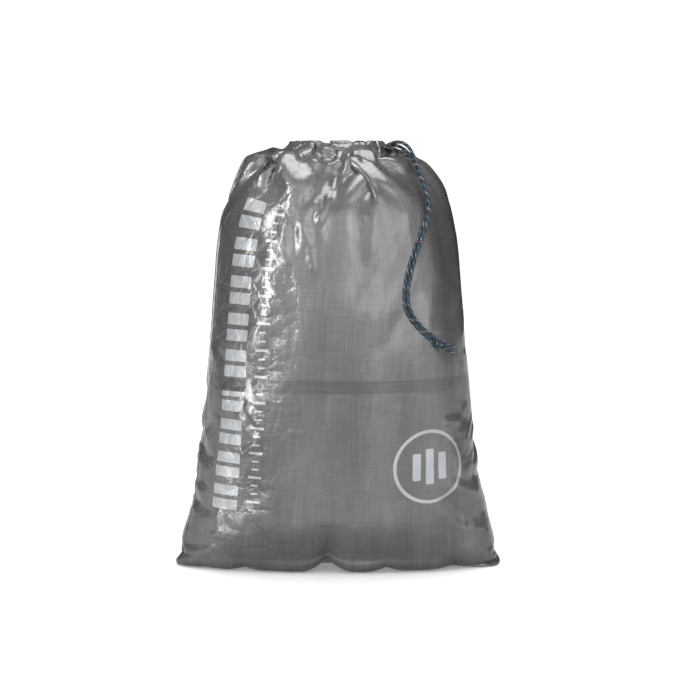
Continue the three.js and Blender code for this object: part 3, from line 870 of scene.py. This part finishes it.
class Look:
    """One material's nodes, with short calls for the kinds that repeat"""

    def __init__(self, name, **sockets):
        self.material = bpy.data.materials.new(name)
        self.material.use_nodes = True
        self.tree = self.material.node_tree
        self.shader = self.tree.nodes["Principled BSDF"]
        for socket, value in sockets.items():
            self.set(socket.replace("_", " "), value)

    def plug(self, socket, value):
        if isinstance(value, bpy.types.NodeSocket):
            self.tree.links.new(value, socket)
        else:
            socket.default_value = value

    def set(self, socket, value):
        self.plug(self.shader.inputs[socket], value)

    def node(self, kind, *values, **settings):
        node = self.tree.nodes.new("ShaderNode" + kind)
        for setting, value in settings.items():
            setattr(node, setting, value)
        for socket, value in zip(node.inputs, values):
            if value is not None:
                self.plug(socket, value)
        return node

    def math(self, operation, *values):
        return self.node("Math", *values, operation=operation).outputs[0]

    def times(self, *values):
        return self.math("MULTIPLY", *values)

    def plus(self, *values):
        return self.math("ADD", *values)

    def minus(self, *values):
        return self.math("SUBTRACT", *values)

    def length(self, x, y):
        return self.math("SQRT", self.plus(self.times(x, x), self.times(y, y)))

    def vector(self, operation, *values):
        return self.node("VectorMath", *values, operation=operation).outputs[0]

    def flat(self):
        """Flat-pattern position, as separate x and y"""
        place = self.node("UVMap", uv_map="flat").outputs[0]
        parts = self.node("SeparateXYZ", place)
        return parts.outputs[0], parts.outputs[1]

    def joined(self, x, y, z=0.0):
        return self.node("CombineXYZ", x, y, z).outputs[0]

    def noise(self, vector, scale, detail=3.0, roughness=0.5, output=0):
        node = self.node("TexNoise")
        self.plug(node.inputs["Vector"], vector)
        self.plug(node.inputs["Scale"], scale)
        self.plug(node.inputs["Detail"], detail)
        self.plug(node.inputs["Roughness"], roughness)
        return node.outputs[output]

    def drawn_out(self, x, y, across, up, detail=3.0, layer=0.0):
        """Noise with its own scale across and up, so that it runs in streaks"""
        return self.noise(self.joined(self.times(x, across), self.times(y, up), layer), 1.0, detail)

    def between(self, value, low, high, to_low=0.0, to_high=1.0):
        node = self.node("MapRange", value, low, high, to_low, to_high)
        return node.outputs[0]

    def colour(self, factor, low, high):
        node = self.tree.nodes.new("ShaderNodeMix")
        node.data_type = "RGBA"
        self.plug(node.inputs["Factor"], factor)
        self.plug(node.inputs["A"], low)
        self.plug(node.inputs["B"], high)
        return node.outputs["Result"]

    def bump(self, height, distance, strength=1.0, under=None):
        node = self.tree.nodes.new("ShaderNodeBump")
        self.plug(node.inputs["Height"], height)
        self.plug(node.inputs["Distance"], distance)
        self.plug(node.inputs["Strength"], strength)
        if under is not None:
            self.plug(node.inputs["Normal"], under)
        return node.outputs[0]

    def box(self, x, y, half_width, half_height, corner):
        """1 inside a rounded box round the origin and 0 outside it"""
        over = [self.math("MAXIMUM", self.minus(self.math("ABSOLUTE", place), half - corner), 0.0)
                for place, half in ((x, half_width), (y, half_height))]
        return self.between(self.length(*over), corner + PRINT_EDGE, corner - PRINT_EDGE)

    def either(self, *masks):
        result = masks[0]
        for mask in masks[1:]:
            result = self.math("MAXIMUM", result, mask)
        return result


def grey(value, warmth=0.0):
    return (value * (1 + warmth), value, value * (1 - warmth), 1.0)


# Columns of print on the front's flat pattern, in metres
BLOCK_COLUMN = {"x": -0.112, "low": 0.110, "high": 0.400, "pitch": 32.2 * MM,
                "half_width": 13 * MM, "half_height": 12.2 * MM, "corner": 1.5 * MM}
SLIT_COLUMN = dict(BLOCK_COLUMN, half_width=16 * MM, half_height=2.0 * MM, corner=0.3 * MM)
LONG_TICKS = {"x": -0.0835, "low": 0.112, "high": 0.401, "pitch": 24.0 * MM,
              "half_width": 6.5 * MM, "half_height": 1.2 * MM, "corner": 0.3 * MM}
SHORT_TICKS = dict(LONG_TICKS, pitch=8.0 * MM, half_width=3.4 * MM, half_height=0.8 * MM)
BADGE = {"x": 0.079, "y": 0.158, "radius": 34 * MM, "line": 3.2 * MM}
BADGE_BARS = {"spacing": 13 * MM, "half_width": 4 * MM, "half_heights": (13 * MM, 17 * MM, 13 * MM),
              "corner": 1.5 * MM}


def repeated(look, x, y, column):
    """Blocks that repeat up one column of print"""
    aside = look.minus(x, column["x"])
    step = look.math("DIVIDE", look.minus(y, column["low"]), column["pitch"])
    along = look.times(look.minus(look.math("FRACT", step), 0.5), column["pitch"])
    inside = look.times(look.math("GREATER_THAN", y, column["low"]),
                       look.math("LESS_THAN", y, column["high"]))
    block = look.box(aside, along, column["half_width"], column["half_height"], column["corner"])
    return look.times(block, inside)


def print_mask(look, x, y):
    """Generic print: a column of paired bars, a column of ruler ticks, and a ring round three bars"""
    columns = (BLOCK_COLUMN, SLIT_COLUMN, LONG_TICKS, SHORT_TICKS)
    blocks, slit, long_ticks, short_ticks = [repeated(look, x, y, column) for column in columns]
    blocks = look.times(blocks, look.minus(1.0, slit))
    from_x = look.minus(x, BADGE["x"])
    from_y = look.minus(y, BADGE["y"])
    off_line = look.math("ABSOLUTE", look.minus(look.length(from_x, from_y), BADGE["radius"]))
    ring = look.between(off_line, BADGE["line"] / 2 + PRINT_EDGE, BADGE["line"] / 2 - PRINT_EDGE)
    bars = [look.box(look.minus(from_x, place * BADGE_BARS["spacing"]), from_y,
                     BADGE_BARS["half_width"], half_height, BADGE_BARS["corner"])
            for place, half_height in zip((-1, 0, 1), BADGE_BARS["half_heights"])]
    return look.either(blocks, long_ticks, short_ticks, ring, *bars)


# Across the front in flat metres: where the crackling comes in at the left edge, where it fades out
# right of the left band, and where it comes back at the right edge, with its strength before and after
LEFT_EDGE = (-0.160, -0.125, 0.4, 1.0)
LEFT_BAND = (-0.070, -0.025, 1.0, 0.10)
RIGHT_EDGE = (0.105, 0.150, 0.10, 0.8)
NOISE_SPAN = (0.3, 0.7)  # where most of a noise's values lie
THREADS_SCALE = 760.0  # of the noise that makes the threads, per metre across them
LAMINATE_DARK = 0.088
LAMINATE_LIGHT = 0.165
INK = (0.4224, 0.44, 0.4576, 1.0)


def laminate_look(name, printed, shade=1.0, band=False):
    """Glossy grey laminate: a film over a fine irregular grid of threads, crackled with creases"""
    look = Look(name, Metallic=0.4, Coat_Weight=0.55, Coat_Roughness=0.09, Coat_IOR=1.45, IOR=1.5)
    x, y = look.flat()
    here = look.joined(x, y)
    warps = look.drawn_out(x, y, THREADS_SCALE, 30.0, 2.0)
    wefts = look.drawn_out(x, y, 30.0, THREADS_SCALE, 2.0)
    threads = look.plus(look.between(warps, *NOISE_SPAN, -1.0, 1.0),
                        look.between(wefts, *NOISE_SPAN, -0.8, 0.8))
    streaks = look.drawn_out(x, y, 30.0, 4.0, 3.0, 3.0)
    clouds = look.noise(here, 22.0, 3.0, 0.5)
    tone = look.plus(look.times(threads, 0.24), look.between(streaks, *NOISE_SPAN, 0.1, 0.9))
    dark, light = grey(LAMINATE_DARK * shade), grey(LAMINATE_LIGHT * shade, 0.004)
    base = look.colour(tone, dark, light)
    drift = look.noise(here, 45.0, 2.0, output=1)
    bent = look.vector("ADD", here, look.vector("SCALE", drift, None, None, 0.016))
    worked = look.math("MAXIMUM", look.between(x, *LEFT_BAND), look.between(x, *RIGHT_EDGE))
    worked = look.math("MINIMUM", worked, look.between(x, *LEFT_EDGE))
    crackle = look.times(crease_lines(look, bent, 48.0), worked)
    finer = look.times(crease_lines(look, bent, 120.0), worked)
    wrinkle = look.noise(here, 90.0, 3.0, 0.55)
    normal = look.bump(crackle, 0.8 * MM, 0.5)
    normal = look.bump(finer, 0.3 * MM, 0.4, normal)
    normal = look.bump(wrinkle, 0.5 * MM, 0.25, normal)
    normal = look.bump(threads, 0.05 * MM, 0.45, normal)
    rough = look.between(clouds, *NOISE_SPAN, 0.24, 0.34)
    if printed:
        ink = print_mask(look, x, y)
        worn = look.between(look.noise(here, 500.0, 3.0, 0.7), 0.30, 0.42, 0.82, 1.0)
        ink = look.times(ink, worn)
        base = look.colour(look.times(ink, 0.9), base, INK)
        rough = look.plus(rough, look.times(ink, 0.12))
    if band:
        edge = look.drawn_out(x, y, 6.0, 900.0, 1.0)
        base = look.colour(look.between(edge, 0.45, 0.6, 0.0, 0.5), base, grey(0.06))
    look.set("Base Color", base)
    look.set("Roughness", rough)
    look.set("Normal", normal)
    return look.material


def crease_lines(look, place, scale):
    """1 over the flat facets and 0 along the creases between them"""
    cells = look.node("TexVoronoi", feature="DISTANCE_TO_EDGE")
    look.plug(cells.inputs["Vector"], place)
    look.plug(cells.inputs["Scale"], scale)
    return look.between(cells.outputs["Distance"], 0.0, 0.22)


def tape_look():
    return laminate_look("bonded_tape", printed=False, shade=0.8, band=True)


def thread_look():
    look = Look("sewing_thread", Roughness=0.6, Sheen_Weight=0.3)
    here = look.node("TexCoord").outputs["Object"]
    fibres = look.noise(here, 2600.0, 2.0)
    look.set("Base Color", look.colour(look.between(fibres, 0.35, 0.65), grey(0.045), grey(0.13)))
    look.set("Normal", look.bump(fibres, 0.08 * MM, 0.6))
    return look.material


def cord_look():
    """Dark navy braid with a few teal, blue and pale yarns"""
    look = Look("braided_cord", Roughness=0.62, Sheen_Weight=0.12, Sheen_Roughness=0.4)
    turn, along = look.flat()
    one_way, other_way = [look.math("FLOOR", look.times(lean, float(CARRIERS)))
                          for lean in (look.plus(turn, along), look.minus(turn, along))]
    parity = look.math("FLOORED_MODULO", look.plus(one_way, other_way), 2.0)
    first_on_top = look.math("LESS_THAN", parity, 0.5)
    under = look.minus(1.0, first_on_top)
    fibres = look.drawn_out(turn, along, 60.0, 90.0)
    base = look.colour(fibres, (0.003, 0.005, 0.010, 1), (0.008, 0.012, 0.022, 1))
    for on_top, diagonal, number, amount, colour in (
        (under, other_way, 2.0, 0.85, (0.015, 0.07, 0.16, 1)),
        (first_on_top, one_way, 1.0, 0.9, (0.03, 0.20, 0.26, 1)),
        (first_on_top, one_way, 5.0, 0.75, (0.36, 0.39, 0.38, 1)),
    ):
        carrier = look.math("FLOORED_MODULO", diagonal, float(CARRIERS))
        yarn = look.times(on_top, look.math("COMPARE", carrier, number, 0.4))
        base = look.colour(look.times(yarn, amount), base, colour)
    look.set("Base Color", base)
    look.set("Normal", look.bump(fibres, 0.1 * MM, 0.6))
    return look.material


PRINTED = laminate_look("printed_laminate", printed=True)
LAMINATE = laminate_look("laminate", printed=False)
TAPE_LOOK = tape_look()
THREAD = thread_look()
CORD = cord_look()

# ------------------------------------------------------------------------------ fabric pieces
halves = {"front": (0, HALF, PRINTED), "back": (HALF, COLUMNS, LAMINATE)}
on_panel = {}
for half, (start, end, material) in halves.items():
    lower = cut(f"{half}_lower_fabric", (start, end), (0, SPLICE_ROW))
    upper = cut(f"{half}_upper_fabric", (start, end), (SPLICE_ROW, STITCH_ROW))
    dress(lower, "sack", "laminate", material, f"{half}_lower_panel")
    dress(upper, "sack", "laminate", material, f"{half}_upper_panel")
    splice = cut(f"{half}_splice_band", (start + SEAM_CELLS, end - SEAM_CELLS),
                 (SPLICE_ROW - SEAM_CELLS, SPLICE_ROW + SEAM_CELLS), FABRIC / 2, FABRIC / 2 + TAPE)
    dress(splice, "sack", "tape", TAPE_LOOK, f"{half}_splice_tape")
    tunnel_columns = (start, end - EXIT_CELLS) if half == "front" else (start + EXIT_CELLS, end)
    tunnel = cut(f"{half}_hem_fabric", tunnel_columns, (STITCH_ROW, ALL_ROWS - 1))
    dress(tunnel, "sack", "laminate", LAMINATE, f"{half}_hem_tunnel")
    on_panel[half] = [splice, tunnel]

for side, middle in (("left", COLUMNS), ("right", HALF)):
    tape = cut(f"{side}_seam_tape", (middle - SEAM_CELLS, middle + SEAM_CELLS), (2, STITCH_ROW),
               FABRIC / 2 + 0.05 * MM, FABRIC / 2 + 0.05 * MM + TAPE)
    dress(tape, "sack", "tape", TAPE_LOOK, f"{side}_side_seam_tape")
    on_panel["front"].append(tape)


def bottom_tape():
    """Tape round the bottom seam, from the front panel under to the back one"""
    columns = np.arange(4, HALF - 3)
    front = CLOTH[columns, SEAM_CELLS:0:-1]
    back = CLOTH[(COLUMNS - columns) % COLUMNS, :SEAM_CELLS + 1]
    front_out = OUTWARD[columns, SEAM_CELLS:0:-1]
    back_out = OUTWARD[(COLUMNS - columns) % COLUMNS, :SEAM_CELLS + 1].copy()
    back_out[:, 0] = (front_out[:, -1] + back_out[:, 1]) / 2
    points = np.concatenate([front, back], 1)
    outward = np.concatenate([front_out, back_out], 1)
    outward /= np.linalg.norm(outward, axis=-1, keepdims=True) + 1e-9
    across = np.arange(points.shape[1]) * CELL
    flat = np.stack(np.broadcast_arrays(FLAT[columns, 0, 0][:, None], across[None]), -1)
    return shell("bottom_tape", points[::-1], outward[::-1], flat[::-1], FABRIC / 2, FABRIC / 2 + TAPE)


on_panel["front"].append(dress(bottom_tape(), "sack", "tape", TAPE_LOOK, "bottom_seam_tape"))

# ------------------------------------------------------------------------------ sewing
STITCH_PITCH = 3.0 * MM
STITCH_LENGTH = 2.3 * MM
THREAD_RADIUS = 0.28 * MM


def row_of_stitches(name, start, end, row):
    """Lockstitches along one row of the cloth"""
    threads = []
    count = int((end - start) * CELL / STITCH_PITCH)
    for k in range(count):
        first = start + (k + 0.5) * STITCH_PITCH / CELL
        stops = first + np.array([0, 0.15, 0.5, 0.85, 1]) * STITCH_LENGTH / CELL
        lifts = FABRIC / 2 + np.array([-0.1, 0.15, 0.22, 0.15, -0.1]) * MM
        threads.append([on_cloth(stop, row, lift) for stop, lift in zip(stops, lifts)])
    return thread_mesh(name, threads, THREAD_RADIUS)


def bartack(name, column):
    """Dense zigzag across the open end of the hem"""
    threads = []
    for k in range(16):
        row = STITCH_ROW + 0.5 + k * (HEM_ROWS - 1) / 16
        ends = np.linspace(column - 1.1, column + 1.1, 5)
        lifts = FABRIC / 2 + np.array([-0.1, 0.2, 0.3, 0.2, -0.1]) * MM
        rows = row + 0.08 * np.arange(len(ends))
        threads.append([on_cloth(*stop) for stop in zip(ends, rows, lifts)])
    return thread_mesh(name, threads, THREAD_RADIUS)


for half, (start, end, _) in halves.items():
    sewing = row_of_stitches(f"{half}_hem_stitches", start + SEAM_CELLS, end - SEAM_CELLS, STITCH_ROW + 0.6)
    dress(sewing, "sack", "thread", THREAD, f"{half}_hem_stitching")
    column = HALF - EXIT_CELLS - 2 if half == "front" else HALF + EXIT_CELLS + 2
    tack = bartack(f"{half}_bartack_stitches", column)
    dress(tack, "sack", "thread", THREAD, f"{half}_exit_bartack")
    on_panel[half].extend([sewing, tack])

# ------------------------------------------------------------------------------ drawcord
HEM_LOOP_TURNS = np.linspace(-1.5 * EXIT_ANGLE, -2 * np.pi + 1.5 * EXIT_ANGLE, 33)


def hem_loop():
    ring = section_point(*HEM_RING, HEM_LOOP_TURNS)
    points = np.column_stack([ring, np.full(len(ring), HEM_CORD_HEIGHT)])
    return braided_tube("drawcord_in_hem", smooth_line(points, CORD_STEP * 2))


dress(hem_loop(), "sack", "cord", CORD, "drawcord_hem_loop")


def knot_line(turn, reach, scale):
    """Overhand knot: a trefoil laid along the cord"""
    t = np.linspace(0, 2 * np.pi, 140)
    local = np.stack([
        (np.sin(t) + 2 * np.sin(2 * t)) / 3 * reach[0],
        -np.sin(3 * t) * reach[1],
        (np.cos(t) - 2 * np.cos(2 * t)) / 3 * reach[2],
    ], -1) * scale
    c, s = math.cos(turn), math.sin(turn)
    local = local @ np.array([(1, 0, 0), (0, c, s), (0, -s, c)])
    c, s = math.cos(KNOT_DIP), math.sin(KNOT_DIP)
    along = np.array([(c, 0, -s), (0, 1, 0), (s, 0, c)])
    return KNOT_CENTRE + local @ along


def join(name, *pieces):
    """One object from several"""
    bpy.ops.object.select_all(action="DESELECT")
    for piece in pieces:
        piece.select_set(True)
    bpy.context.view_layer.objects.active = pieces[0]
    bpy.ops.object.join()
    pieces[0].name = name
    return pieces[0]


def make_knot():
    """Two turns of the cord through each other, each closed on itself inside the knot"""
    reach = (KNOT_LENGTH / 2 - 1.5 * MM, 1.9 * MM, KNOT_WIDTH / 2 - 1.5 * MM)
    turns = [
        braided_tube(name, knot_line(turn, reach, scale), KNOT_CORD_RADIUS, (1.2 * MM, 1.2 * MM))
        for name, turn, scale in KNOT_TURNS
    ]
    return join("overhand_knot", *turns)


knot = dress(make_knot(), "drawcord_tail", "cord", CORD, "drawcord_knot")


def make_tip(side):
    """Free end past the knot, its end melted round"""
    reach = KNOT_LENGTH / 2 - 1.5 * MM
    c, s = math.cos(KNOT_DIP), math.sin(KNOT_DIP)
    half = side * STRAND_SPACING * MM / 2
    start = KNOT_CENTRE + np.array((reach * c + half * s, 0, -reach * s + half * c))
    end = start + TIP_RUN * 1.2 + np.array((0, 0, side * TIP_SPREAD))
    line = even_line(np.array([start, (start + end) / 2 + (0, -0.4 * MM, 0), end]), CORD_STEP)
    return braided_tube("front_tip" if side > 0 else "back_tip", line, CORD_RADIUS, (0, 1.5 * MM))


tips = [dress(make_tip(side), "drawcord_tail", "cord", CORD, f"{name}_cord_tip")
        for side, name in ((1, "front"), (-1, "back"))]

for name, route in (("front", FRONT_BIGHT_ROUTE), ("back", BACK_BIGHT_ROUTE)):
    line = smooth_line(np.array(route) * MM, CORD_STEP)
    bight = braided_tube(f"{name}_bight_cord", line)
    dress(bight, None, "cord", CORD, f"{name}_drawcord_bight")
    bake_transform(bight)

for name, side in (("front", 1), ("back", -1)):
    line = smooth_line(strand_points(side), CORD_STEP)
    strand = braided_tube(f"{name}_strand_cord", line)
    dress(strand, None, "cord", CORD, f"{name}_drawcord_strand")
    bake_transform(strand)

# ------------------------------------------------------------------------------ studio


def softbox(name, location, width, height, power, target=(0, 0, 0.2)):
    lamp = bpy.data.lights.new(name, "AREA")
    lamp.shape = "RECTANGLE"
    lamp.size = width
    lamp.size_y = height
    lamp.energy = power
    return place(lamp, location, target)


FLOOR_RADIUS = 3.2
FLOOR_SIDES = 96
FLOOR_GLOW = 0.25
# The floor's colour as the sack sees it is painted shade and painted reflection, set by these
FLOOR_BOUNCE = 0.08  # how light the floor is to the sack's underside, which so stays dark
FLOOR_DIMMED = 0.45  # how far its reflection in the sack goes the same way
FLOOR_LIFT = 0.40  # and how much of that is taken back beside the camera and near the sack
BESIDE = (0.06, 0.40)  # distances from the middle, between which that sets in
AHEAD = (-0.15, -0.35)
NEAR = ((-0.13, -0.17), (-0.40, -0.25))  # places in front of the sack, where it sets in and fades out
FLOOR_LIGHT = 360


def make_floor():
    """White disc. Its colour changes with the ray: in the sack's reflections it is dimmed in front of the
    camera, a painted shade, and lifted beside the camera and just in front of the sack, a painted
    reflection; to the sack's diffuse light it is dark grey, a painted shade on the underside
    """
    floor = bpy.data.meshes.new("floor")
    turns = np.arange(FLOOR_SIDES) * 2 * np.pi / FLOOR_SIDES
    rim = [(FLOOR_RADIUS * math.cos(turn), FLOOR_RADIUS * math.sin(turn), 0) for turn in turns]
    floor.from_pydata(rim, [], [range(FLOOR_SIDES)])
    ground = smooth_object("floor", floor)
    look = Look("studio_floor", Roughness=0.9, Specular_IOR_Level=0.1, Emission_Strength=FLOOR_GLOW)
    path = look.node("LightPath")
    across = look.node("SeparateXYZ", look.node("TexCoord").outputs["Object"])
    beside = look.between(look.math("ABSOLUTE", across.outputs["X"]), *BESIDE)
    beside = look.times(beside, look.between(across.outputs["Y"], *AHEAD))
    near = look.times(*[look.between(across.outputs["Y"], *edge) for edge in NEAR])
    lift = look.times(look.math("MAXIMUM", beside, near), FLOOR_LIFT)
    mirrored = look.times(path.outputs["Is Glossy Ray"], look.minus(FLOOR_DIMMED, lift))
    bounced = look.math("MAXIMUM", path.outputs["Is Diffuse Ray"], mirrored)
    speck = look.noise(look.node("TexCoord").outputs["Object"], 40.0)
    white = look.colour(speck, grey(0.90), grey(0.93))
    look.set("Base Color", look.colour(bounced, white, grey(FLOOR_BOUNCE)))
    look.set("Emission Color", look.colour(bounced, grey(1.0), grey(FLOOR_BOUNCE)))
    floor.materials.append(look.material)
    return ground


def light_floor_apart(ground):
    """Light the floor from above alone, so that it is white with a soft contact shadow"""
    groups = {}
    for state in ("INCLUDE", "EXCLUDE"):
        groups[state] = bpy.data.collections.new(f"floor_{state.lower()}d")
        groups[state].objects.link(ground)
        groups[state].collection_objects[0].light_linking.link_state = state
    for lamp in [piece for piece in bpy.context.scene.objects if piece.type == "LIGHT"]:
        lamp.light_linking.receiver_collection = groups["EXCLUDE"]
    sky = softbox("floor_sky", (0, 0.6, 4.0), 9, 9, FLOOR_LIGHT, (0, 0.6, 0))
    sky.light_linking.receiver_collection = groups["INCLUDE"]


def make_backdrop():
    """White dome that only the camera sees, so that it doesn't light the object's dark edges"""
    bpy.ops.mesh.primitive_uv_sphere_add(segments=32, ring_count=16, radius=12)
    dome = bpy.context.object
    dome.name = "backdrop"
    look = Look("studio_backdrop", Roughness=1.0, Emission_Strength=1.05)
    look.set("Base Color", grey(0.0))
    look.set("Emission Color", (1, 1, 1, 1))
    dome.data.materials.append(look.material)
    dome.visible_diffuse = False
    dome.visible_glossy = False
    dome.visible_transmission = False
    dome.visible_shadow = False


def make_world():
    """Dim light from all round, left out of reflections"""
    world = bpy.data.worlds.new("studio")
    bpy.context.scene.world = world
    world.use_nodes = True
    world.node_tree.nodes["Background"].inputs["Color"].default_value = (1, 1, 1, 1)
    world.node_tree.nodes["Background"].inputs["Strength"].default_value = 0.42
    world.cycles_visibility.glossy = False


softbox("left_strip_high", (-0.92, -1.19, 0.56), 0.2, 0.88, 13.5)
softbox("left_strip_low", (-1.16, -0.93, 0.0), 0.2, 0.24, 5)
softbox("front_fill", (1.1, -1.9, 0.45), 1.5, 1.9, 19)
softbox("right_fill", (1.85, -1.2, 0.9), 1.3, 2.2, 7.5)
softbox("left_rim", (-1.0, 1.6, 0.5), 0.3, 1.0, 1.8)
softbox("front_wall", (0.0, -3.2, 1.0), 4.0, 2.6, 40)
softbox("top_box", (0.1, -0.4, 1.9), 1.2, 1.2, 27)
make_world()
light_floor_apart(make_floor())
make_backdrop()
bpy.context.scene.view_settings.view_transform = "Standard"
